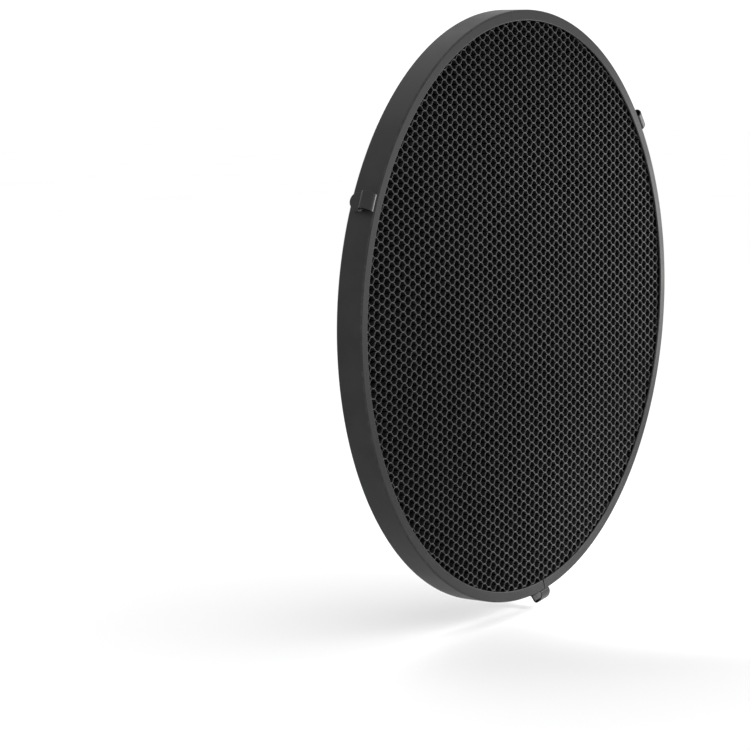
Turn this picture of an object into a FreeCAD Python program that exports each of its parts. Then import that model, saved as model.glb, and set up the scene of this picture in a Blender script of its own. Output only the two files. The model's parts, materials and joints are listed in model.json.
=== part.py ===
import FreeCAD, Part
import math
import os
from FreeCAD import Vector

# Round honeycomb grid for a 550 mm beauty dish, in millimetres.
# +Y is the ring's axis, from the front face towards the dish, and +Z is up.
# The plane y = 0 is the seat: the front of the dish's rolled rim lies against the clips' crowns there.
# An angle on the ring runs from +X towards +Z, anticlockwise as seen from the front.
# Each clip and rivet is modelled at angle 0, where +X is outwards and +Z is along the ring.

# frame ring: a rolled channel that opens towards the centre
OPENING_RADIUS = 255.0
FRAME_RADIUS = 264.5
FRAME_DEPTH = 25.0
FRONT_FACE_Y = -0.9
FLANGE_THICKNESS = 1.8
WEB_THICKNESS = 1.5
FLANGE_EDGE_ROUND = 0.8
OUTER_BEND_ROUND = 1.5
INNER_BEND_ROUND = 0.5
SEAM_ANGLE = 277.7
SEAM_GAP = 1.2

# honeycomb core: foil ribbons run along X, and each solid cell stands for a block of 2 x 2 foil cells
CORE_RADIUS = 257.6
CORE_RIM = 0.8
CORE_FRONT_PLAY = 0.5
CORE_REAR_PLAY = 0.3
FOIL_COLUMN_STEP = 7.7
FOIL_ROW_STEP = 8.6
FOIL_BOND_LENGTH = 5.0
CELL_BLOCK = 2
CELL_WALL = 0.3
CORE_TILT = -1.0
CORE_SHIFT = (-22.2, 10.6)
SMALLEST_CELL_AREA = 12.0
CELLS_PAST_RIM = 3

# joint strap inside the channel, behind the seam
STRAP_THICKNESS = 1.2
STRAP_WIDTH = 15.0
STRAP_HALF_LENGTH = 36.0
STRAP_RIVET_OFFSETS = (-29.0, -16.0, 16.0, 29.0)

# clips: one bent strip each, modelled in two pieces that meet at the crown of the saddle
# bend radii are taken at the middle of the sheet, and headings turn from +X towards +Y
CLIP_ANGLES = {"right": 37.2, "left": 156.8, "bottom": 278.0}
CLIP_SHEET = 0.9
CLIP_WIDTH = 15.0
LEG_END_Y = 20.0
LEG_CORNER_ROUND = 2.0
ROOT_BEND_RADIUS = 1.3
SADDLE_RADIUS = 8.15
SADDLE_OFFSET = 3.05
SADDLE_END_HEADING = 70.0
BACK_BEND_RADIUS = 2.6
BACK_HEADING = 150.0
BACK_LENGTH = 4.0
NECK_BEND_RADIUS = 1.6
TONGUE_HEADING = 83.0
TONGUE_LENGTH = 8.8
TONGUE_TAPER_Y = 12.0
TONGUE_TIP_WIDTH = 13.0
TONGUE_TIP_BULGE = 3.2
FLEX_GAP = 0.2
CLIP_RIVET_SPACING = 8.6
CLIP_RIVET_Y = 12.6

# blind rivets with their broken-off stems
RIVET_RADIUS = 1.6
RIVET_HOLE_RADIUS = 1.7
RIVET_HEAD_RADIUS = 3.0
RIVET_HEAD_HEIGHT = 0.9
RIVET_RIM_SHARE = 0.3
RIVET_DOME_SHARE = 0.75
RIVET_TAIL_RADIUS = 2.4
RIVET_TAIL_HEIGHT = 1.2
STEM_RADIUS = 0.8
STEM_BORE_RADIUS = 0.85
STEM_RECESS = 0.4
STEM_HEAD_RADIUS = 1.5
STEM_HEAD_HEIGHT = 0.6

# running gaps between pieces that lie against each other, and how far cutting tools run past the piece
CONTACT_GAP = 0.05
TAIL_GAP = 0.12
DRILL_OVERRUN = 1.0

# derived sizes
REAR_FACE_Y = FRONT_FACE_Y + FRAME_DEPTH
MIDDLE_Y = (FRONT_FACE_Y + REAR_FACE_Y) / 2.0
WEB_INNER_RADIUS = FRAME_RADIUS - WEB_THICKNESS
STRAP_OUTER_RADIUS = WEB_INNER_RADIUS - CONTACT_GAP
STRAP_INNER_RADIUS = STRAP_OUTER_RADIUS - STRAP_THICKNESS
LEG_INNER_X = FRAME_RADIUS + 2.0 * CONTACT_GAP
LEG_MIDDLE_X = LEG_INNER_X + CLIP_SHEET / 2.0
LEG_OUTER_X = LEG_INNER_X + CLIP_SHEET
SADDLE_X = LEG_MIDDLE_X + SADDLE_OFFSET
SADDLE_Y = SADDLE_RADIUS - CLIP_SHEET / 2.0
ROOT_REACH = SADDLE_RADIUS - ROOT_BEND_RADIUS
ROOT_HEADING = math.degrees(math.asin((ROOT_BEND_RADIUS - SADDLE_OFFSET) / ROOT_REACH))
ROOT_Y = SADDLE_Y - ROOT_REACH * math.cos(math.radians(ROOT_HEADING))
FLEX_HALF_ANGLE = math.degrees(FLEX_GAP / 2.0 / SADDLE_RADIUS)

RING_AXIS = Vector(0.0, -1.0, 0.0)
ORIGIN = Vector(0.0, 0.0, 0.0)


def at_angle(shape, angle):
    """The shape turned about the ring's axis from angle 0."""
    turned = shape.copy()
    turned.rotate(ORIGIN, RING_AXIS, angle)
    return turned


def rounded_wire(corners, rounds):
    """A closed wire in the plane z = 0 through (x, y) corners, each rounded by its own radius."""
    starts = []
    ends = []
    middles = []
    count = len(corners)
    for i in range(count):
        here = Vector(corners[i][0], corners[i][1], 0.0)
        before = Vector(corners[i - 1][0], corners[i - 1][1], 0.0) - here
        after = Vector(corners[(i + 1) % count][0], corners[(i + 1) % count][1], 0.0) - here
        before.normalize()
        after.normalize()
        half = before.getAngle(after) / 2.0
        back = rounds[i] / math.tan(half)
        bisector = before + after
        bisector.normalize()
        starts.append(here + before * back)
        ends.append(here + after * back)
        middles.append(here + bisector * (rounds[i] / math.sin(half) - rounds[i]))
    edges = []
    for i in range(count):
        edges.append(Part.Arc(starts[i], middles[i], ends[i]).toShape())
        edges.append(Part.LineSegment(ends[i], starts[(i + 1) % count]).toShape())
    return Part.Wire(edges)


def radial_cylinder(radius, x_low, x_high, y, z=0.0):
    """A cylinder along +X, between two distances from the ring's axis."""
    return Part.makeCylinder(radius, x_high - x_low, Vector(x_low, y, z), Vector(1.0, 0.0, 0.0))


def rivet_places():
    """Each rivet as (name, angle, z offset, y, head seat x, tail seat x)."""
    places = []
    for number, offset in enumerate(STRAP_RIVET_OFFSETS, start=1):
        angle = SEAM_ANGLE + math.degrees(offset / FRAME_RADIUS)
        tail = STRAP_INNER_RADIUS - CONTACT_GAP
        places.append(("strap_rivet_%d" % number, angle, 0.0, MIDDLE_Y, FRAME_RADIUS, tail))
    for side, angle in CLIP_ANGLES.items():
        tail = WEB_INNER_RADIUS - TAIL_GAP
        if abs(math.radians(angle - SEAM_ANGLE)) * FRAME_RADIUS < STRAP_HALF_LENGTH:
            tail = STRAP_INNER_RADIUS - TAIL_GAP
        for letter, sign in (("a", -1.0), ("b", 1.0)):
            name = "clip_%s_rivet_%s" % (side, letter)
            z = sign * CLIP_RIVET_SPACING / 2.0
            places.append((name, angle, z, CLIP_RIVET_Y, LEG_OUTER_X, tail))
    return places


def rivet_holes():
    """The drills for every rivet, through clip leg, web and strap."""
    drills = []
    for name, angle, z, y, head_x, tail_x in rivet_places():
        drill = radial_cylinder(RIVET_HOLE_RADIUS, tail_x - DRILL_OVERRUN, head_x + DRILL_OVERRUN, y, z)
        drills.append(at_angle(drill, angle))
    return Part.makeCompound(drills)


def frame_ring():
    """The channel, bent round to a butt seam and drilled for the rivets."""
    front_inner = FRONT_FACE_Y + FLANGE_THICKNESS
    rear_inner = REAR_FACE_Y - FLANGE_THICKNESS
    corners = [
        (OPENING_RADIUS, FRONT_FACE_Y),
        (FRAME_RADIUS, FRONT_FACE_Y),
        (FRAME_RADIUS, REAR_FACE_Y),
        (OPENING_RADIUS, REAR_FACE_Y),
        (OPENING_RADIUS, rear_inner),
        (WEB_INNER_RADIUS, rear_inner),
        (WEB_INNER_RADIUS, front_inner),
        (OPENING_RADIUS, front_inner),
    ]
    edge = FLANGE_EDGE_ROUND
    outer = OUTER_BEND_ROUND
    inner = INNER_BEND_ROUND
    rounds = [edge, outer, outer, edge, edge, inner, inner, edge]
    section = Part.Face(rounded_wire(corners, rounds))
    gap_angle = math.degrees(SEAM_GAP / FRAME_RADIUS)
    ring = section.revolve(ORIGIN, RING_AXIS, 360.0 - gap_angle)
    ring = at_angle(ring, SEAM_ANGLE + gap_angle / 2.0)
    return ring.cut(rivet_holes())


def joint_strap():
    """A curved strap against the web's inner face that joins the two ends of the channel."""
    low = MIDDLE_Y - STRAP_WIDTH / 2.0
    half_angle = math.degrees(STRAP_HALF_LENGTH / FRAME_RADIUS)
    section = Part.makePolygon([
        Vector(STRAP_INNER_RADIUS, low, 0.0),
        Vector(STRAP_OUTER_RADIUS, low, 0.0),
        Vector(STRAP_OUTER_RADIUS, low + STRAP_WIDTH, 0.0),
        Vector(STRAP_INNER_RADIUS, low + STRAP_WIDTH, 0.0),
        Vector(STRAP_INNER_RADIUS, low, 0.0),
    ])
    strap = Part.Face(section).revolve(ORIGIN, RING_AXIS, 2.0 * half_angle)
    strap = at_angle(strap, SEAM_ANGLE - half_angle)
    return strap.cut(rivet_holes())


def hexagon(centre_x, centre_z):
    """One cell's six corners: flat bonded walls above and below, the foil's wall taken off."""
    column_step = FOIL_COLUMN_STEP * CELL_BLOCK
    half_height = FOIL_ROW_STEP * CELL_BLOCK / 2.0
    half_bond = FOIL_BOND_LENGTH * CELL_BLOCK / 2.0
    slant_x = column_step - 2.0 * half_bond
    slant = math.hypot(slant_x, half_height)
    normal_x = half_height / slant
    normal_z = slant_x / slant
    reach = normal_x * (half_bond + slant_x) - CELL_WALL / 2.0
    top = half_height - CELL_WALL / 2.0
    point_x = reach / normal_x
    top_x = (reach - normal_z * top) / normal_x
    shape = [(top_x, top), (-top_x, top), (-point_x, 0.0), (-top_x, -top), (top_x, -top), (point_x, 0.0)]
    return [(centre_x + x, centre_z + z) for x, z in shape]


def circle_crossings(a, b, radius):
    """Where the line from a to b crosses the circle about the origin, in order."""
    dx = b[0] - a[0]
    dz = b[1] - a[1]
    square = dx * dx + dz * dz
    along = (a[0] * dx + a[1] * dz) / square
    rest = (a[0] ** 2 + a[1] ** 2 - radius ** 2) / square
    inside = along * along - rest
    if inside <= 0.0:
        return []
    root = math.sqrt(inside)
    return [(a[0] + t * dx, a[1] + t * dz) for t in (-along - root, -along + root) if 0.0 < t < 1.0]


def trimmed(corners, radius):
    """A cell cut off at the core's rim."""
    kept = []
    for i, here in enumerate(corners):
        after = corners[(i + 1) % len(corners)]
        if math.hypot(*here) <= radius:
            kept.append(here)
        kept.extend(circle_crossings(here, after, radius))
    return kept


def area(corners):
    """The area of a polygon."""
    total = 0.0
    for i, here in enumerate(corners):
        after = corners[(i + 1) % len(corners)]
        total += here[0] * after[1] - after[0] * here[1]
    return abs(total) / 2.0


def honeycomb_core():
    """A disc of open hexagonal cells, trimmed to a circle that hides inside the channel."""
    front = FRONT_FACE_Y + FLANGE_THICKNESS + CORE_FRONT_PLAY
    rear = REAR_FACE_Y - FLANGE_THICKNESS - CORE_REAR_PLAY
    column_step = FOIL_COLUMN_STEP * CELL_BLOCK
    row_step = FOIL_ROW_STEP * CELL_BLOCK
    reach = int(CORE_RADIUS / min(column_step, row_step)) + CELLS_PAST_RIM
    tilt = math.radians(CORE_TILT)
    wires = [Part.Wire([Part.makeCircle(CORE_RADIUS, Vector(0.0, front, 0.0), Vector(0.0, 1.0, 0.0))])]
    for column in range(-reach, reach + 1):
        for row in range(-reach, reach + 1):
            x = column * column_step
            z = (row + 0.5 * (column % 2)) * row_step
            turned = []
            for cx, cz in hexagon(x, z):
                px = CORE_SHIFT[0] + cx * math.cos(tilt) - cz * math.sin(tilt)
                pz = CORE_SHIFT[1] + cx * math.sin(tilt) + cz * math.cos(tilt)
                turned.append((px, pz))
            cell = trimmed(turned, CORE_RADIUS - CORE_RIM)
            if len(cell) < 3 or area(cell) < SMALLEST_CELL_AREA:
                continue
            loop = [Vector(px, front, pz) for px, pz in cell]
            wires.append(Part.makePolygon(loop + [loop[0]]))
    return Part.Face(wires).extrude(Vector(0.0, rear - front, 0.0))


def heading_vectors(heading):
    """The way a strip runs at a heading, and its left side, in the plane z = 0."""
    turn = math.radians(heading)
    return Vector(math.cos(turn), math.sin(turn), 0.0), Vector(-math.sin(turn), math.cos(turn), 0.0)


def bent_strip(place, heading, steps):
    """A sheet as wide as the clip, run through straights (length,) and bends (radius, new heading)."""
    sides = {CLIP_SHEET / 2.0: [], -CLIP_SHEET / 2.0: []}
    for step in steps:
        along, left = heading_vectors(heading)
        if len(step) == 1:
            after = place + along * step[0]
            for offset, edges in sides.items():
                edges.append(Part.LineSegment(place + left * offset, after + left * offset))
        else:
            radius, end_heading = step
            if end_heading < heading:
                radius = -radius
            centre = place + left * radius
            half_left = heading_vectors((heading + end_heading) / 2.0)[1]
            end_left = heading_vectors(end_heading)[1]
            for offset, edges in sides.items():
                reach = radius - offset
                turn = [centre - side * reach for side in (left, half_left, end_left)]
                edges.append(Part.Arc(*turn))
            after = centre - end_left * radius
            heading = end_heading
        place = after
    upper, lower = sides.values()
    edges = upper + [Part.LineSegment(upper[-1].EndPoint, lower[-1].EndPoint)]
    edges += lower[::-1] + [Part.LineSegment(lower[0].StartPoint, upper[0].StartPoint)]
    wire = Part.Wire([edge.toShape() for edge in edges])
    bar = Part.Face(wire).extrude(Vector(0.0, 0.0, CLIP_WIDTH))
    bar.translate(Vector(0.0, 0.0, -CLIP_WIDTH / 2.0))
    return bar


def clip_base():
    """The riveted leg, the root bend and the saddle up to its crown."""
    half_width = CLIP_WIDTH / 2.0
    base = bent_strip(Vector(LEG_MIDDLE_X, LEG_END_Y, 0.0), -90.0, [
        (LEG_END_Y - ROOT_Y,),
        (ROOT_BEND_RADIUS, ROOT_HEADING),
        (SADDLE_RADIUS, -FLEX_HALF_ANGLE),
    ])
    corners = []
    for edge in base.Edges:
        centre = edge.CenterOfMass
        at_end = abs(centre.y - LEG_END_Y) < CONTACT_GAP
        if at_end and abs(abs(centre.z) - half_width) < CONTACT_GAP:
            corners.append(edge)
    base = base.makeFillet(LEG_CORNER_ROUND, corners)
    for sign in (-1.0, 1.0):
        low = LEG_INNER_X - DRILL_OVERRUN
        high = LEG_OUTER_X + DRILL_OVERRUN
        drill = radial_cylinder(RIVET_HOLE_RADIUS, low, high, CLIP_RIVET_Y, sign * CLIP_RIVET_SPACING / 2.0)
        base = base.cut(drill)
    return base


def clip_arm():
    """The rest of the saddle, the back that closes in behind the rim, the neck and the tongue."""
    left = heading_vectors(FLEX_HALF_ANGLE)[1]
    crown = Vector(SADDLE_X, SADDLE_Y, 0.0) - left * SADDLE_RADIUS
    arm = bent_strip(crown, FLEX_HALF_ANGLE, [
        (SADDLE_RADIUS, SADDLE_END_HEADING),
        (BACK_BEND_RADIUS, BACK_HEADING),
        (BACK_LENGTH,),
        (NECK_BEND_RADIUS, TONGUE_HEADING),
        (TONGUE_LENGTH,),
    ])
    tip_y = arm.BoundBox.YMax
    shoulder_y = tip_y - TONGUE_TIP_BULGE
    front_y = arm.BoundBox.YMin - DRILL_OVERRUN
    clip_side = CLIP_WIDTH / 2.0
    side = clip_side + DRILL_OVERRUN
    tip_side = TONGUE_TIP_WIDTH / 2.0
    low_x = SADDLE_X - CLIP_WIDTH

    def corner(y, z):
        return Vector(low_x, y, z)

    plan = Part.Wire([
        Part.LineSegment(corner(front_y, -side), corner(TONGUE_TAPER_Y, -side)).toShape(),
        Part.LineSegment(corner(TONGUE_TAPER_Y, -side), corner(TONGUE_TAPER_Y, -clip_side)).toShape(),
        Part.LineSegment(corner(TONGUE_TAPER_Y, -clip_side), corner(shoulder_y, -tip_side)).toShape(),
        Part.Arc(corner(shoulder_y, -tip_side), corner(tip_y, 0.0), corner(shoulder_y, tip_side)).toShape(),
        Part.LineSegment(corner(shoulder_y, tip_side), corner(TONGUE_TAPER_Y, clip_side)).toShape(),
        Part.LineSegment(corner(TONGUE_TAPER_Y, clip_side), corner(TONGUE_TAPER_Y, side)).toShape(),
        Part.LineSegment(corner(TONGUE_TAPER_Y, side), corner(front_y, side)).toShape(),
        Part.LineSegment(corner(front_y, side), corner(front_y, -side)).toShape(),
    ])
    outline = Part.Face(plan).extrude(Vector(2.0 * CLIP_WIDTH, 0.0, 0.0))
    return arm.common(outline)


def rivet_body(z, y, head_x, tail_x):
    """Domed head outside, shank through the stack, set tail inside, bored for the stem."""
    top = head_x + RIVET_HEAD_HEIGHT
    rim = head_x + RIVET_RIM_SHARE * RIVET_HEAD_HEIGHT
    tail_end = tail_x - RIVET_TAIL_HEIGHT
    bulge = tail_x - RIVET_TAIL_HEIGHT / 2.0
    dome_x = head_x + RIVET_DOME_SHARE * RIVET_HEAD_HEIGHT
    dome_radius = RIVET_DOME_SHARE * RIVET_HEAD_RADIUS

    def point(x, radius):
        return Vector(x, radius, 0.0)

    edges = [
        Part.LineSegment(point(top, STEM_BORE_RADIUS), point(tail_end, STEM_BORE_RADIUS)).toShape(),
        Part.LineSegment(point(tail_end, STEM_BORE_RADIUS), point(tail_end, RIVET_RADIUS)).toShape(),
        Part.Arc(
            point(tail_end, RIVET_RADIUS), point(bulge, RIVET_TAIL_RADIUS), point(tail_x, RIVET_RADIUS),
        ).toShape(),
        Part.LineSegment(point(tail_x, RIVET_RADIUS), point(head_x, RIVET_RADIUS)).toShape(),
        Part.LineSegment(point(head_x, RIVET_RADIUS), point(head_x, RIVET_HEAD_RADIUS)).toShape(),
        Part.LineSegment(point(head_x, RIVET_HEAD_RADIUS), point(rim, RIVET_HEAD_RADIUS)).toShape(),
        Part.Arc(
            point(rim, RIVET_HEAD_RADIUS), point(dome_x, dome_radius), point(top, STEM_BORE_RADIUS),
        ).toShape(),
    ]
    body = Part.Face(Part.Wire(edges)).revolve(ORIGIN, Vector(1.0, 0.0, 0.0), 360.0)
    body.translate(Vector(0.0, y, z))
    return body


def rivet_stem(z, y, head_x, tail_x):
    """The stem left in the rivet: a pin broken off inside the head, with its own head past the tail."""
    end = tail_x - RIVET_TAIL_HEIGHT - CONTACT_GAP
    pin = radial_cylinder(STEM_RADIUS, end, head_x + RIVET_HEAD_HEIGHT - STEM_RECESS, y, z)
    head = radial_cylinder(STEM_HEAD_RADIUS, end - STEM_HEAD_HEIGHT, end, y, z)
    return pin.fuse(head).removeSplitter()


def save(name, shape):
    """Write one node, and print what it holds."""
    print("%-28s solids %d  valid %s" % (name, len(shape.Solids), shape.isValid()))
    shape.exportStep("parts/%s.step" % name)


def main():
    os.makedirs("parts", exist_ok=True)
    save("frame_ring", frame_ring())
    save("joint_strap", joint_strap())
    for side, angle in CLIP_ANGLES.items():
        save("clip_%s_base" % side, at_angle(clip_base(), angle))
        save("clip_%s_arm" % side, at_angle(clip_arm(), angle))
    for name, angle, z, y, head_x, tail_x in rivet_places():
        save(name, at_angle(rivet_body(z, y, head_x, tail_x), angle))
        save(name + "_stem", at_angle(rivet_stem(z, y, head_x, tail_x), angle))
    save("honeycomb_core", honeycomb_core())


main()
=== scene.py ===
import json
import math

import bmesh
import bpy
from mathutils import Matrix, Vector, noise


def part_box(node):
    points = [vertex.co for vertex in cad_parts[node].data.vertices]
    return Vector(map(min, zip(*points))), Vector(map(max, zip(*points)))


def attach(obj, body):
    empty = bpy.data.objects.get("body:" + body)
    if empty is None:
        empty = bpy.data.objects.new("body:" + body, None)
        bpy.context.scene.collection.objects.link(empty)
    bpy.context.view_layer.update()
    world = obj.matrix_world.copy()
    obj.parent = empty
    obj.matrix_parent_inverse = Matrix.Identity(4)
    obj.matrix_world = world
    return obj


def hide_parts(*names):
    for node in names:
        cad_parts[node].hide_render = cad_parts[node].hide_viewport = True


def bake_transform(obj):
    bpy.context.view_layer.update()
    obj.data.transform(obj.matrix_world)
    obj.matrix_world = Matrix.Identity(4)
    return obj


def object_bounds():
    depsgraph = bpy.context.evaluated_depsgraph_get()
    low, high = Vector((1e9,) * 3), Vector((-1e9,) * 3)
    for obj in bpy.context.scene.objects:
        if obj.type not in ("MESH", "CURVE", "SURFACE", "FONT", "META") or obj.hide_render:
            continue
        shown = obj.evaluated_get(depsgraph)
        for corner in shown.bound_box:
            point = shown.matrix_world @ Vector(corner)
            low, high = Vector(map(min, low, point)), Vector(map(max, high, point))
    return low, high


# The honeycomb grid, in metres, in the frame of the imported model: +Y runs from the front face to the
# back along the ring's axis, and +Z is up. An angle on the ring runs from +X towards +Z.
MM = 0.001
SKIN_GAP = 0.002 * MM

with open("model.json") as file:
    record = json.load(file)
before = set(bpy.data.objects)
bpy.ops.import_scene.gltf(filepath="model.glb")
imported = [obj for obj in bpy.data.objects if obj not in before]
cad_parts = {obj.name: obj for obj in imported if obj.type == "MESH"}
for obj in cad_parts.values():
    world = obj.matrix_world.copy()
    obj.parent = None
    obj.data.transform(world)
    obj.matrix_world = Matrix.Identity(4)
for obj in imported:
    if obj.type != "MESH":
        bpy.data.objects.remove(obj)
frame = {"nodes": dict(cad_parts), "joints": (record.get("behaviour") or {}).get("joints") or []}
CAD_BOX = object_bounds()

RING_LOW, RING_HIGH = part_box("frame_ring")
CORE_LOW, CORE_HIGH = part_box("honeycomb_core")

# frame ring
FRAME_RADIUS = min(RING_HIGH.x, -RING_LOW.x) - SKIN_GAP
FRONT_Y = RING_LOW.y + SKIN_GAP
REAR_Y = RING_HIGH.y - SKIN_GAP
FLANGE_WIDTH = 9.5 * MM
FLANGE_THICKNESS = 1.8 * MM
WEB_THICKNESS = 1.5 * MM
FLANGE_EDGE_ROUND = 0.8 * MM
OUTER_BEND_ROUND = 1.5 * MM
INNER_BEND_ROUND = 0.5 * MM
SECTION_SUPPORT = 0.12 * MM
RING_SEGMENTS = 720
FRONT_FLANGE_REACH = 2.5 * MM
WAVER_FADE_SHARE = 1.0 / 40.0
SEAM_ANGLE = math.radians(277.7)
SEAM_GAP_INSIDE = 1.6 * MM
SEAM_GAP_OUTSIDE = 0.9 * MM
SEAM_LEAN = 1.5 * MM
SEAM_FADE_STEPS = 8.0

# foil core
FOIL_THICKNESS = 0.36 * MM
GLUE_GAP = 0.14 * MM
COLUMN_STEP = 7.717 * MM
ROW_STEP = 8.598 * MM
BOND_LENGTH = 5.6 * MM
FOIL_BEND_SETBACK = 1.5 * MM
FOIL_BEND_LIMIT = 0.45
BOND_TILT = 0.26 * MM
LATTICE_CENTRE = (-20.43 * MM, 10.75 * MM)
COLUMN_CLIMB = -0.0116
ROW_LEAN = -0.0303
# how far the stretched foil bows at the rim, by column squared, column times row, and row squared
HALF_COLUMNS = 33.0
HALF_ROWS = 59.0
BOW_X = (-1.67 * MM, 2.07 * MM, -0.20 * MM)
BOW_Z = (-0.94 * MM, 0.60 * MM, -1.97 * MM)
FOIL_WANDER = 0.16 * MM
FOIL_WANDER_SIZE = 11.0 * MM
FOIL_WANDER_SEED = 7
FOIL_EDGE_RAGGED = 0.12 * MM
FOIL_RAGGED_SIZE = 3.5 * MM
RIM_MARGIN = 0.3 * MM
RIBBON_COLUMNS = range(-38, 44)
RIBBON_LEVELS = range(-68, 66)
TRIM_HALVINGS = 24

# clips: bend radii are taken at the middle of the sheet
# and headings turn from outwards towards the back
CLIP_WIDTH = 15.0 * MM
CLIP_SHEET = 0.9 * MM
LEG_END_Y = 20.0 * MM
LEG_CORNER_ROUND = 2.0 * MM
ROOT_BEND_RADIUS = 1.3 * MM
SADDLE_RADIUS = 8.15 * MM
SADDLE_OFFSET = 3.05 * MM
SADDLE_END_HEADING = 70.0
BACK_BEND_RADIUS = 2.6 * MM
BACK_HEADING = 150.0
BACK_LENGTH = 4.0 * MM
NECK_BEND_RADIUS = 1.6 * MM
TONGUE_HEADING = 83.0
TONGUE_LENGTH = 8.8 * MM
TONGUE_TIP_WIDTH = 13.0 * MM
TONGUE_TIP_BULGE = 3.2 * MM
CLIP_EDGE_ROUND = 0.22 * MM
CLIP_EDGE_SUPPORT = 0.3 * MM
CLIP_CORNER_STEPS = 6
CLIP_TIP_STEPS = 24
STRAIGHT_SLICES = 4
BEND_SLICES_MIN = 6
BEND_SLICE_DEGREES = 6.0
CLIP_TINY = 1e-7
ROOT_REACH = SADDLE_RADIUS - ROOT_BEND_RADIUS
ROOT_HEADING = math.degrees(math.asin((ROOT_BEND_RADIUS - SADDLE_OFFSET) / ROOT_REACH))

# colours
FRAME_DARK = (0.016, 0.016, 0.0165, 1.0)
FRAME_LIGHT = (0.022, 0.022, 0.0225, 1.0)
FRAME_RUBBED = (0.060, 0.060, 0.061, 1.0)
FOIL_DARK = (0.012, 0.012, 0.012, 1.0)
FOIL_LIGHT = (0.019, 0.019, 0.019, 1.0)
# painted highlight: the lighter colour of the foil's cut edges and its first millimetre, standing in for
# light that reaches only that far into the cells
FOIL_PAINTED_RIM_LIGHT = (0.092, 0.092, 0.094, 1.0)
CLIP_DARK = (0.008, 0.008, 0.0085, 1.0)
CLIP_LIGHT = (0.012, 0.012, 0.0125, 1.0)
CLIP_SCUFF = (0.10, 0.10, 0.101, 1.0)
RIVET_BLACK = (0.030, 0.030, 0.031, 1.0)
RIVET_RUBBED = (0.13, 0.13, 0.132, 1.0)
STEEL_DARK = (0.20, 0.20, 0.205, 1.0)
STEEL_LIGHT = (0.42, 0.42, 0.43, 1.0)
FLOOR_DARK = (0.86, 0.86, 0.86, 1.0)
FLOOR_LIGHT = (0.88, 0.88, 0.88, 1.0)
WHITE = (1.0, 1.0, 1.0, 1.0)

# camera
CAMERA_PLACE = Vector((-2.0431, -1.2063, 0.2257))
CAMERA_AZIMUTH = -56.17
CAMERA_ELEVATION = 6.89
CAMERA_LENS = 127.6
CAMERA_SENSOR = 36.0
CAMERA_FAR = 60.0

# studio
WORLD_STRENGTH = 1.14
FLOOR_HALF_SIZE = 14.0
FLOOR_GAP = 6.0 * MM


# ---------------------------------------------------------------- mesh helpers

def new_object(name, vertices, faces, material, smooth=True):
    """A mesh object made from points and faces, with one material."""
    mesh = bpy.data.meshes.new(name)
    mesh.from_pydata(vertices, [], faces)
    mesh.validate()
    if smooth:
        mesh.shade_smooth()
    mesh.materials.append(material)
    thing = bpy.data.objects.new(name, mesh)
    bpy.context.scene.collection.objects.link(thing)
    return thing


def on_ring(radius, angle, y, along=0.0):
    """A point at a radius and angle on the ring, moved along the ring by a distance."""
    return Vector((
        radius * math.cos(angle) - along * math.sin(angle),
        y,
        radius * math.sin(angle) + along * math.cos(angle),
    ))


# ---------------------------------------------------------------- materials

def start_material(name):
    """A new node material: its tree, its Principled shader and its object coordinates."""
    material = bpy.data.materials.new(name)
    material.use_nodes = True
    tree = material.node_tree
    shader = tree.nodes["Principled BSDF"]
    place = tree.nodes.new("ShaderNodeTexCoord").outputs["Object"]
    return material, tree, shader, place


def noise_value(tree, place, size, detail=2.0, rough=0.5, stretch=None):
    """Noise with features of a given size in metres, and maybe drawn out along the axes."""
    if stretch is not None:
        mapping = tree.nodes.new("ShaderNodeMapping")
        mapping.inputs["Scale"].default_value = stretch
        tree.links.new(place, mapping.inputs["Vector"])
        place = mapping.outputs["Vector"]
    texture = tree.nodes.new("ShaderNodeTexNoise")
    texture.inputs["Scale"].default_value = 1.0 / size
    texture.inputs["Detail"].default_value = detail
    texture.inputs["Roughness"].default_value = rough
    tree.links.new(place, texture.inputs["Vector"])
    return texture.outputs["Fac"]


def spread(tree, value, low_in, high_in, low_out, high_out):
    """A value moved from one range to another, and held inside it."""
    ranger = tree.nodes.new("ShaderNodeMapRange")
    ranger.inputs["From Min"].default_value = low_in
    ranger.inputs["From Max"].default_value = high_in
    ranger.inputs["To Min"].default_value = low_out
    ranger.inputs["To Max"].default_value = high_out
    tree.links.new(value, ranger.inputs["Value"])
    return ranger.outputs["Result"]


def combine(tree, operation, first, second):
    """Two values, or a value and a number, through one Math node."""
    node = tree.nodes.new("ShaderNodeMath")
    node.operation = operation
    for socket, value in zip(node.inputs, (first, second)):
        if isinstance(value, (int, float)):
            socket.default_value = value
        else:
            tree.links.new(value, socket)
    return node.outputs["Value"]


def blend_colours(tree, factor, first, second):
    """Between two colours, or a colour and a colour output, by a factor."""
    node = tree.nodes.new("ShaderNodeMix")
    node.data_type = "RGBA"
    tree.links.new(factor, node.inputs["Factor"])
    sockets = {socket.identifier: socket for socket in (*node.inputs, *node.outputs)}
    for name, value in (("A_Color", first), ("B_Color", second)):
        if isinstance(value, tuple):
            sockets[name].default_value = value
        else:
            tree.links.new(value, sockets[name])
    return sockets["Result_Color"]


def add_bump(tree, shader, layers):
    """Bump layers, each (height output, distance in metres, strength), one over the other."""
    normal = None
    for height, distance, strength in layers:
        bump = tree.nodes.new("ShaderNodeBump")
        bump.inputs["Distance"].default_value = distance
        bump.inputs["Strength"].default_value = strength
        tree.links.new(height, bump.inputs["Height"])
        if normal is not None:
            tree.links.new(normal, bump.inputs["Normal"])
        normal = bump.outputs["Normal"]
    tree.links.new(normal, shader.inputs["Normal"])


def ring_radius(tree, place):
    """The distance from the ring's axis."""
    parts = tree.nodes.new("ShaderNodeSeparateXYZ")
    tree.links.new(place, parts.inputs["Vector"])
    x2 = combine(tree, "MULTIPLY", parts.outputs["X"], parts.outputs["X"])
    z2 = combine(tree, "MULTIPLY", parts.outputs["Z"], parts.outputs["Z"])
    return combine(tree, "SQRT", combine(tree, "ADD", x2, z2), 0.0)


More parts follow.
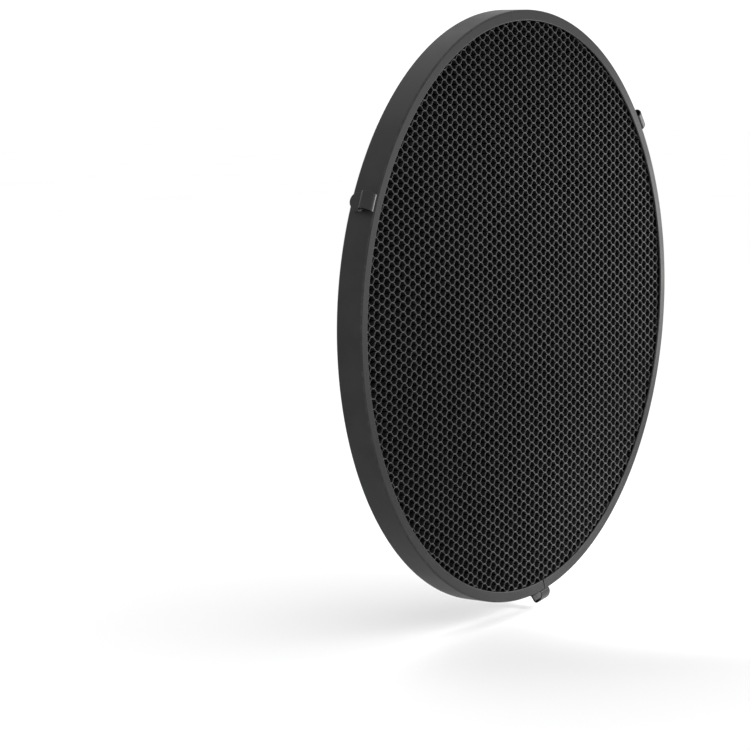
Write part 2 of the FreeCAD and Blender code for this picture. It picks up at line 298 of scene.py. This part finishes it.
def frame_paint():
    """Satin black powder coat: orange peel, slow sheen changes, and paint rubbed thin on the edges."""
    material, tree, shader, place = start_material("satin_black_powder_coat")
    peel = noise_value(tree, place, 0.9 * MM, detail=3.0)
    cloud = noise_value(tree, place, 38.0 * MM, detail=4.0)
    wave = noise_value(tree, place, 60.0 * MM, detail=1.0)
    colour = blend_colours(tree, spread(tree, cloud, 0.35, 0.65, 0.0, 1.0), FRAME_DARK, FRAME_LIGHT)
    radius = ring_radius(tree, place)
    opening = FRAME_RADIUS - FLANGE_WIDTH
    inner_edge = spread(tree, radius, opening + 0.15 * MM, opening + 1.0 * MM, 1.0, 0.0)
    outer_edge = spread(tree, radius, FRAME_RADIUS - 1.3 * MM, FRAME_RADIUS - 0.35 * MM, 0.0, 1.0)
    parts = tree.nodes.new("ShaderNodeSeparateXYZ")
    tree.links.new(place, parts.inputs["Vector"])
    front_bend = spread(tree, parts.outputs["Y"], FRONT_Y + 0.4 * MM, FRONT_Y + 1.6 * MM, 1.0, 0.0)
    rear_bend = spread(tree, parts.outputs["Y"], REAR_Y - 1.6 * MM, REAR_Y - 0.4 * MM, 0.0, 1.0)
    outer_edge = combine(tree, "MULTIPLY", outer_edge, combine(tree, "MAXIMUM", front_bend, rear_bend))
    edges = combine(tree, "MAXIMUM", inner_edge, outer_edge)
    patches = noise_value(tree, place, 7.0 * MM, detail=5.0, rough=0.65)
    wear = combine(tree, "MULTIPLY", edges, spread(tree, patches, 0.42, 0.72, 0.12, 0.75))
    colour = blend_colours(tree, wear, colour, FRAME_RUBBED)
    tree.links.new(colour, shader.inputs["Base Color"])
    rough = spread(tree, cloud, 0.3, 0.7, 0.40, 0.50)
    rough = combine(tree, "ADD", rough, spread(tree, peel, 0.3, 0.7, -0.03, 0.04))
    tree.links.new(rough, shader.inputs["Roughness"])
    shader.inputs["Specular IOR Level"].default_value = 0.15
    add_bump(tree, shader, [(wave, 0.6 * MM, 0.25), (peel, 0.05 * MM, 0.5)])
    return material


def foil_coat():
    """Matt black coated foil: faint rolling lines along the depth, crinkles, and a painted highlight on the
    cut edges and the first millimetre or so of the foil at the front and back.
    """
    material, tree, shader, place = start_material("matt_black_foil")
    crinkle = noise_value(tree, place, 2.6 * MM, detail=4.0)
    lines = noise_value(tree, place, 0.7 * MM, detail=2.0, stretch=(1.0, 0.08, 1.0))
    cloud = noise_value(tree, place, 24.0 * MM, detail=3.0)
    colour = blend_colours(tree, spread(tree, cloud, 0.3, 0.7, 0.0, 1.0), FOIL_DARK, FOIL_LIGHT)
    parts = tree.nodes.new("ShaderNodeSeparateXYZ")
    tree.links.new(place, parts.inputs["Vector"])
    # painted highlight: the foil is made lighter over its first millimetre at the front and back, standing
    # in for light that reaches only that far into the cells
    front = spread(tree, parts.outputs["Y"], CORE_LOW.y + 0.4 * MM, CORE_LOW.y + 1.3 * MM, 1.0, 0.0)
    back = spread(tree, parts.outputs["Y"], CORE_HIGH.y - 1.3 * MM, CORE_HIGH.y - 0.4 * MM, 0.0, 1.0)
    painted_rim_light = combine(tree, "MAXIMUM", front, back)
    painted_rim_light = combine(tree, "MULTIPLY", painted_rim_light, spread(tree, crinkle, 0.35, 0.65, 0.55, 1.0))
    colour = blend_colours(tree, painted_rim_light, colour, FOIL_PAINTED_RIM_LIGHT)
    tree.links.new(colour, shader.inputs["Base Color"])
    tree.links.new(spread(tree, crinkle, 0.3, 0.7, 0.40, 0.56), shader.inputs["Roughness"])
    shader.inputs["Specular IOR Level"].default_value = 0.2
    add_bump(tree, shader, [(crinkle, 0.35 * MM, 0.35), (lines, 0.04 * MM, 0.4)])
    return material


def clip_paint():
    """Semi-gloss black paint on spring steel: a slow unevenness, fine orange peel and small scuffs."""
    material, tree, shader, place = start_material("semi_gloss_black_paint")
    peel = noise_value(tree, place, 0.7 * MM, detail=3.0)
    scuff = noise_value(tree, place, 2.2 * MM, detail=6.0, rough=0.7, stretch=(1.0, 0.35, 1.0))
    cloud = noise_value(tree, place, 9.0 * MM, detail=3.0)
    colour = blend_colours(tree, spread(tree, cloud, 0.3, 0.7, 0.0, 1.0), CLIP_DARK, CLIP_LIGHT)
    scuffed = spread(tree, scuff, 0.62, 0.78, 0.0, 0.6)
    colour = blend_colours(tree, scuffed, colour, CLIP_SCUFF)
    tree.links.new(colour, shader.inputs["Base Color"])
    tree.links.new(spread(tree, scuff, 0.3, 0.75, 0.26, 0.44), shader.inputs["Roughness"])
    shader.inputs["Specular IOR Level"].default_value = 0.28
    add_bump(tree, shader, [(cloud, 0.15 * MM, 0.3), (peel, 0.03 * MM, 0.5)])
    return material


def rivet_paint():
    """Black aluminium rivets, with the paint rubbed on the dome."""
    material, tree, shader, place = start_material("black_rivet")
    grain = noise_value(tree, place, 0.5 * MM, detail=4.0)
    patch = noise_value(tree, place, 1.6 * MM, detail=5.0, rough=0.7)
    colour = blend_colours(tree, spread(tree, patch, 0.5, 0.75, 0.0, 0.8), RIVET_BLACK, RIVET_RUBBED)
    tree.links.new(colour, shader.inputs["Base Color"])
    tree.links.new(spread(tree, patch, 0.3, 0.7, 0.28, 0.42), shader.inputs["Roughness"])
    add_bump(tree, shader, [(grain, 0.03 * MM, 0.5)])
    return material


def stem_steel():
    """The rough grey end of a broken steel stem."""
    material, tree, shader, place = start_material("broken_steel")
    grain = noise_value(tree, place, 0.25 * MM, detail=5.0, rough=0.7)
    colour = blend_colours(tree, spread(tree, grain, 0.35, 0.65, 0.0, 1.0), STEEL_DARK, STEEL_LIGHT)
    tree.links.new(colour, shader.inputs["Base Color"])
    shader.inputs["Metallic"].default_value = 1.0
    tree.links.new(spread(tree, grain, 0.3, 0.7, 0.35, 0.6), shader.inputs["Roughness"])
    add_bump(tree, shader, [(grain, 0.08 * MM, 0.8)])
    return material


def floor_paint():
    """A pale matt studio floor."""
    material, tree, shader, place = start_material("pale_floor")
    cloud = noise_value(tree, place, 400.0 * MM, detail=3.0)
    colour = blend_colours(tree, spread(tree, cloud, 0.3, 0.7, 0.0, 1.0), FLOOR_DARK, FLOOR_LIGHT)
    tree.links.new(colour, shader.inputs["Base Color"])
    shader.inputs["Roughness"].default_value = 0.8
    return material


# ---------------------------------------------------------------- frame ring

def rounded_section(corners, rounds, steps, support):
    """A closed outline of (radius, y) points: each corner an arc, with a point just past each end of it."""
    outline = []
    count = len(corners)
    for i in range(count):
        here = Vector(corners[i])
        before = (Vector(corners[i - 1]) - here).normalized()
        after = (Vector(corners[(i + 1) % count]) - here).normalized()
        half = before.angle(after) / 2.0
        back = rounds[i] / math.tan(half)
        centre = here + (before + after).normalized() * (rounds[i] / math.sin(half))
        start = here + before * back - centre
        end = here + after * back - centre
        turn = start.angle_signed(end)
        outline.append(here + before * (back + support))
        for step in range(steps + 1):
            angle = -turn * step / steps
            spoke = Vector((
                start.x * math.cos(angle) - start.y * math.sin(angle),
                start.x * math.sin(angle) + start.y * math.cos(angle),
            ))
            outline.append(centre + spoke)
        outline.append(here + after * (back + support))
    return outline


def ring_waver(angle):
    """How far the rolled channel's front flange strays from flat at an angle, in metres."""
    return 0.10 * MM * math.sin(3.0 * angle + 0.6) + 0.06 * MM * math.sin(7.0 * angle + 2.0)


def make_frame_ring(material):
    """The rolled channel, from one side of its butt seam round to the other."""
    inner = FRAME_RADIUS - FLANGE_WIDTH
    web = FRAME_RADIUS - WEB_THICKNESS
    edge = FLANGE_EDGE_ROUND
    outer = OUTER_BEND_ROUND
    bend = INNER_BEND_ROUND
    corners = [
        (inner, FRONT_Y), (FRAME_RADIUS, FRONT_Y), (FRAME_RADIUS, REAR_Y), (inner, REAR_Y),
        (inner, REAR_Y - FLANGE_THICKNESS), (web, REAR_Y - FLANGE_THICKNESS),
        (web, FRONT_Y + FLANGE_THICKNESS), (inner, FRONT_Y + FLANGE_THICKNESS),
    ]
    rounds = [edge, outer, outer, edge, edge, bend, bend, edge]
    outline = rounded_section(corners, rounds, steps=6, support=SECTION_SUPPORT)
    count = len(outline)
    vertices = []
    for step in range(RING_SEGMENTS + 1):
        angle = SEAM_ANGLE + 2.0 * math.pi * step / RING_SEGMENTS
        from_seam = min(step, RING_SEGMENTS - step)
        dip = abs(ring_waver(angle)) * min(1.0, from_seam / RING_SEGMENTS / WAVER_FADE_SHARE) / 2.0
        near_seam = max(0.0, 1.0 - from_seam / SEAM_FADE_STEPS)
        way = 0.5 if step < RING_SEGMENTS / 2 else -0.5
        for radius, y in outline:
            share = (radius - inner) / FLANGE_WIDTH
            gap = SEAM_GAP_INSIDE + (SEAM_GAP_OUTSIDE - SEAM_GAP_INSIDE) * share
            along = near_seam * (way * gap - SEAM_LEAN * (1.0 - share))
            shift = dip if y < FRONT_Y + FRONT_FLANGE_REACH else 0.0
            vertices.append(on_ring(radius, angle, y + shift, along))
    faces = []
    for step in range(RING_SEGMENTS):
        for i in range(count):
            j = (i + 1) % count
            a = step * count
            b = a + count
            faces.append((a + i, a + j, b + j, b + i))
    faces.append(tuple(reversed(range(count))))
    faces.append(tuple(range(RING_SEGMENTS * count, (RING_SEGMENTS + 1) * count)))
    ring = new_object("rolled_channel_ring", vertices, faces, material)
    ring.data.set_sharp_from_angle(angle=math.radians(50.0))
    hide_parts("frame_ring")
    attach(ring, "root")
    return ring


# ---------------------------------------------------------------- honeycomb

def lattice_point(across, up):
    """From the even lattice (column count, half-row count) to where the stretched foil really lies."""
    u = across / HALF_COLUMNS
    v = up / HALF_ROWS
    x = LATTICE_CENTRE[0] + COLUMN_STEP * across + ROW_STEP / 2.0 * ROW_LEAN * up
    z = LATTICE_CENTRE[1] + COLUMN_STEP * COLUMN_CLIMB * across + ROW_STEP / 2.0 * up
    x += BOW_X[0] * u * u + BOW_X[1] * u * v + BOW_X[2] * v * v
    z += BOW_Z[0] * u * u + BOW_Z[1] * u * v + BOW_Z[2] * v * v
    drift = noise.noise_vector(Vector((x, 0.0, z)) / FOIL_WANDER_SIZE)
    return Vector((x + drift.x * FOIL_WANDER, z + drift.z * FOIL_WANDER))


def ribbon_corners(level, columns):
    """One ribbon's zigzag between two half-row levels, in lattice counts, with its flats nearly level."""
    flat = BOND_LENGTH / COLUMN_STEP / 2.0
    tilt = BOND_TILT * 2.0 / ROW_STEP
    lift = (FOIL_THICKNESS + GLUE_GAP) / ROW_STEP
    corners = []
    for column in columns:
        low = (column + level) % 2 != 0
        height = level + lift if low else level + 1.0 - lift
        corners.append((column - flat, height + tilt))
        corners.append((column + flat, height - tilt))
    return corners


def softened(corners):
    """The zigzag with each corner rounded, as points on the real foil."""
    placed = [lattice_point(*corner) for corner in corners]
    line = []
    for i in range(1, len(placed) - 1):
        here = placed[i]
        before = placed[i - 1] - here
        after = placed[i + 1] - here
        back = min(FOIL_BEND_SETBACK, FOIL_BEND_LIMIT * before.length, FOIL_BEND_LIMIT * after.length)
        start = here + before.normalized() * back
        end = here + after.normalized() * back
        line.append(start)
        line.append((start + end + here * 2.0) / 4.0)
        line.append(end)
    return line


def runs_inside(line, radius):
    """The stretches of a line that lie inside a circle, each trimmed exactly on it."""
    runs = []
    run = []
    for before, here in zip(line, line[1:]):
        inside_before = before.length <= radius
        inside_here = here.length <= radius
        if inside_before and not run:
            run.append(before)
        if inside_before != inside_here:
            low, high = (before, here) if inside_before else (here, before)
            for _ in range(TRIM_HALVINGS):
                middle = (low + high) / 2.0
                if middle.length <= radius:
                    low = middle
                else:
                    high = middle
            if inside_before:
                run.append(low)
                runs.append(run)
                run = []
            else:
                run = [low]
        if inside_here:
            run.append(here)
    if run:
        runs.append(run)
    return [r for r in runs if len(r) > 1]


def add_ribbon(line, vertices, faces):
    """A strip of foil on edge along a line, from the core's front to its back."""
    half = FOIL_THICKNESS / 2.0
    start = len(vertices)
    count = len(line)
    for i, here in enumerate(line):
        ahead = line[min(i + 1, count - 1)] - line[max(i - 1, 0)]
        side = Vector((-ahead.y, ahead.x)).normalized() * half
        ragged = noise.noise(Vector((here.x, 0.3, here.y)) / FOIL_RAGGED_SIZE)
        front = CORE_LOW.y + FOIL_EDGE_RAGGED * (0.5 + 0.5 * ragged)
        back = CORE_HIGH.y - FOIL_EDGE_RAGGED * (0.5 - 0.5 * ragged)
        for offset, y in ((side, front), (-side, front), (-side, back), (side, back)):
            vertices.append((here.x + offset.x, y, here.y + offset.y))
    for i in range(count - 1):
        a = start + 4 * i
        b = a + 4
        for j in range(4):
            k = (j + 1) % 4
            faces.append((a + j, a + k, b + k, b + j))
    end = start + 4 * (count - 1)
    faces.append((start + 3, start + 2, start + 1, start))
    faces.append((end, end + 1, end + 2, end + 3))


def make_honeycomb(material):
    """All the foil ribbons, stacked and bonded at their flats, trimmed to the core's circle."""
    noise.seed_set(FOIL_WANDER_SEED)
    radius = CORE_HIGH.x - RIM_MARGIN
    vertices = []
    faces = []
    for level in RIBBON_LEVELS:
        line = softened(ribbon_corners(level, RIBBON_COLUMNS))
        for run in runs_inside(line, radius):
            add_ribbon(run, vertices, faces)
    core = new_object("foil_honeycomb", vertices, faces, material, smooth=True)
    core.data.set_sharp_from_angle(angle=math.radians(40.0))
    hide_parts("honeycomb_core")
    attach(core, "root")
    return core


# ---------------------------------------------------------------- clips

def clip_outline():
    """The clip's flat blank: a square leg end with round corners, and a tapered tongue with a bowed tip."""
    half = CLIP_WIDTH / 2.0
    corner = LEG_CORNER_ROUND
    tip_half = TONGUE_TIP_WIDTH / 2.0
    tip_radius = (tip_half ** 2 + TONGUE_TIP_BULGE ** 2) / (2.0 * TONGUE_TIP_BULGE)
    tip_turn = math.asin(tip_half / tip_radius)
    tip_centre = blank_length() - tip_radius
    points = []
    for step in range(CLIP_CORNER_STEPS + 1):
        turn = math.radians(90.0 * step / CLIP_CORNER_STEPS)
        points.append((corner - corner * math.cos(turn), half - corner + corner * math.sin(turn)))
    points.append((blank_length() - TONGUE_LENGTH, half))
    for step in range(CLIP_TIP_STEPS + 1):
        turn = tip_turn * (1.0 - 2.0 * step / CLIP_TIP_STEPS)
        points.append((tip_centre + tip_radius * math.cos(turn), tip_radius * math.sin(turn)))
    points.append((blank_length() - TONGUE_LENGTH, -half))
    for step in range(CLIP_CORNER_STEPS + 1):
        turn = math.radians(90.0 * step / CLIP_CORNER_STEPS)
        points.append((corner - corner * math.sin(turn), -half + corner - corner * math.cos(turn)))
    return points


def clip_bend(before, after, radius):
    """One bend of the strip, between two headings."""
    turn = after - before
    return (math.radians(abs(turn)) * radius, turn, radius)


def clip_segments():
    """The bent strip's centre line from the leg's end: (length, turn in degrees, radius)."""
    root_y = SADDLE_RADIUS - CLIP_SHEET / 2.0 - ROOT_REACH * math.cos(math.radians(ROOT_HEADING))
    return [
        (LEG_END_Y - root_y, 0.0, 0.0),
        clip_bend(-90.0, ROOT_HEADING, ROOT_BEND_RADIUS),
        clip_bend(ROOT_HEADING, SADDLE_END_HEADING, SADDLE_RADIUS),
        clip_bend(SADDLE_END_HEADING, BACK_HEADING, BACK_BEND_RADIUS),
        (BACK_LENGTH, 0.0, 0.0),
        clip_bend(BACK_HEADING, TONGUE_HEADING, NECK_BEND_RADIUS),
        (TONGUE_LENGTH, 0.0, 0.0),
    ]


def blank_length():
    """The strip's whole length before bending."""
    return sum(length for length, turn, radius in clip_segments())


def bent(distance, start):
    """Where a point on the strip's centre line goes, and its heading, in (radius, y)."""
    place = start.copy()
    heading = math.radians(-90.0)
    left = distance
    for length, turn, radius in clip_segments():
        part = min(left, length)
        if turn == 0.0:
            place += Vector((math.cos(heading), math.sin(heading))) * part
        else:
            sign = 1.0 if turn > 0.0 else -1.0
            swept = sign * part / radius
            centre = place + Vector((-math.sin(heading), math.cos(heading))) * sign * radius
            spoke = place - centre
            place = centre + Vector((
                spoke.x * math.cos(swept) - spoke.y * math.sin(swept),
                spoke.x * math.sin(swept) + spoke.y * math.cos(swept),
            ))
            heading += swept
        left -= part
        if left <= 0.0:
            break
    return place, heading


def bend_stations():
    """Where the blank is sliced so that it bends smoothly."""
    stations = []
    begin = 0.0
    for length, turn, radius in clip_segments():
        slices = STRAIGHT_SLICES
        if turn != 0.0:
            slices = max(BEND_SLICES_MIN, int(abs(turn) / BEND_SLICE_DEGREES))
        stations.extend(begin + length * i / slices for i in range(slices))
        begin += length
    return stations[1:]


def make_clip(side, angle, crown, material):
    """One clip: a flat blank with rounded edges, sliced, then bent over the rim's seat."""
    bm = bmesh.new()
    bottom = bm.faces.new([bm.verts.new((s, w, -CLIP_SHEET / 2.0)) for s, w in clip_outline()])
    bmesh.ops.recalc_face_normals(bm, faces=[bottom])
    raised = bmesh.ops.extrude_face_region(bm, geom=[bottom])
    top = [v for v in raised["geom"] if isinstance(v, bmesh.types.BMVert)]
    bmesh.ops.translate(bm, verts=top, vec=(0.0, 0.0, CLIP_SHEET))
    bmesh.ops.recalc_face_normals(bm, faces=bm.faces)
    rims = [e for e in bm.edges if abs(e.verts[0].co.z - e.verts[1].co.z) < CLIP_SHEET / 4.0]
    bmesh.ops.bevel(bm, geom=rims, offset=CLIP_EDGE_ROUND, segments=3, profile=0.5, affect="EDGES")
    flats = [f for f in bm.faces if abs(abs(f.calc_center_median().z) - CLIP_SHEET / 2.0) < CLIP_TINY]
    bmesh.ops.inset_individual(bm, faces=flats, thickness=CLIP_EDGE_SUPPORT)
    along = (1.0, 0.0, 0.0)
    for station in bend_stations():
        parts = bm.verts[:] + bm.edges[:] + bm.faces[:]
        bmesh.ops.bisect_plane(bm, geom=parts, plane_co=(station, 0.0, 0.0), plane_no=along, dist=CLIP_TINY)
    start = Vector((crown.x - SADDLE_OFFSET, LEG_END_Y))
    for v in bm.verts:
        place, heading = bent(v.co.x, start)
        radius = place.x - math.sin(heading) * v.co.z
        y = place.y + math.cos(heading) * v.co.z
        v.co = on_ring(radius, angle, y, v.co.y)
    bmesh.ops.recalc_face_normals(bm, faces=bm.faces)
    if bm.calc_volume(signed=True) < 0.0:
        bmesh.ops.reverse_faces(bm, faces=bm.faces)
    mesh = bpy.data.meshes.new("spring_clip_" + side)
    bm.to_mesh(mesh)
    bm.free()
    mesh.shade_smooth()
    mesh.set_sharp_from_angle(angle=math.radians(50.0))
    mesh.materials.append(material)
    clip = bpy.data.objects.new("spring_clip_" + side, mesh)
    bpy.context.scene.collection.objects.link(clip)
    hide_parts("clip_%s_base" % side, "clip_%s_arm" % side)
    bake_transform(clip)
    return clip


def make_clips(material):
    """A clip at each flex joint: the joint lies at the crown of the clip's saddle."""
    for joint in frame["joints"]:
        x, y, z = joint["pos_m"]
        side = joint["name"].split("_")[1]
        make_clip(side, math.atan2(z, x), Vector((math.hypot(x, z), y)), material)


# ---------------------------------------------------------------- the CAD pieces that stay

def paint_cad_nodes(strap, rivet, stem):
    """Materials for the joint strap, the rivets and their stems."""
    for name, node in frame["nodes"].items():
        if name == "joint_strap":
            finish = strap
        elif name.endswith("_stem"):
            finish = stem
        elif "rivet" in name:
            finish = rivet
        else:
            continue
        node.data.materials.clear()
        node.data.materials.append(finish)


# ---------------------------------------------------------------- studio

def make_floor(material):
    """A wide pale floor, low enough for the bottom clip to open."""
    low = CAD_BOX[0].z - FLOOR_GAP
    side = FLOOR_HALF_SIZE
    corners = [(-side, -side, low), (side, -side, low), (side, side, low), (-side, side, low)]
    floor = new_object("studio_floor", corners, [(0, 1, 2, 3)], material, smooth=False)


def add_softbox(name, place, size, power, target=(0.0, 0.0, 0.0), beam=180.0):
    """A square area light that faces a point, with a beam of some degrees."""
    light = bpy.data.lights.new(name, "AREA")
    light.shape = "SQUARE"
    light.size = size
    light.energy = power
    light.spread = math.radians(beam)
    lamp = bpy.data.objects.new(name, light)
    lamp.location = place
    lamp.rotation_euler = (Vector(target) - Vector(place)).to_track_quat("-Z", "Y").to_euler()
    bpy.context.scene.collection.objects.link(lamp)
    return lamp


def set_world(strength):
    """Even white surroundings."""
    world = bpy.data.worlds.new("studio_white")
    world.use_nodes = True
    background = world.node_tree.nodes["Background"]
    background.inputs["Color"].default_value = WHITE
    background.inputs["Strength"].default_value = strength
    bpy.context.scene.world = world


def set_camera():
    """The camera, in front of the object to its left and a little above its middle."""
    data = bpy.data.cameras.new("camera")
    data.sensor_width = CAMERA_SENSOR
    data.lens = CAMERA_LENS
    data.clip_end = CAMERA_FAR
    camera = bpy.data.objects.new("camera", data)
    camera.location = CAMERA_PLACE
    tilt = math.radians(90.0 - CAMERA_ELEVATION)
    camera.rotation_euler = (tilt, 0.0, math.radians(CAMERA_AZIMUTH))
    bpy.context.scene.collection.objects.link(camera)
    bpy.context.scene.camera = camera


set_camera()
set_world(WORLD_STRENGTH)
add_softbox("softbox_right_front", place=(0.62, -0.20, 0.03), size=0.3, power=1.6, target=(0.25, 0.0, 0.01))
add_softbox(
    "softbox_low_front", place=(0.14, -0.32, -0.10), size=0.2, power=0.5,
    target=(0.12, 0.0, -0.26), beam=80.0,
)
add_softbox("softbox_top", place=(0.2, 0.9, 2.4), size=2.0, power=9.0)
bpy.context.scene.view_settings.view_transform = "Standard"

make_floor(floor_paint())
paint = frame_paint()
make_frame_ring(paint)
make_honeycomb(foil_coat())
make_clips(clip_paint())
paint_cad_nodes(paint, rivet_paint(), stem_steel())
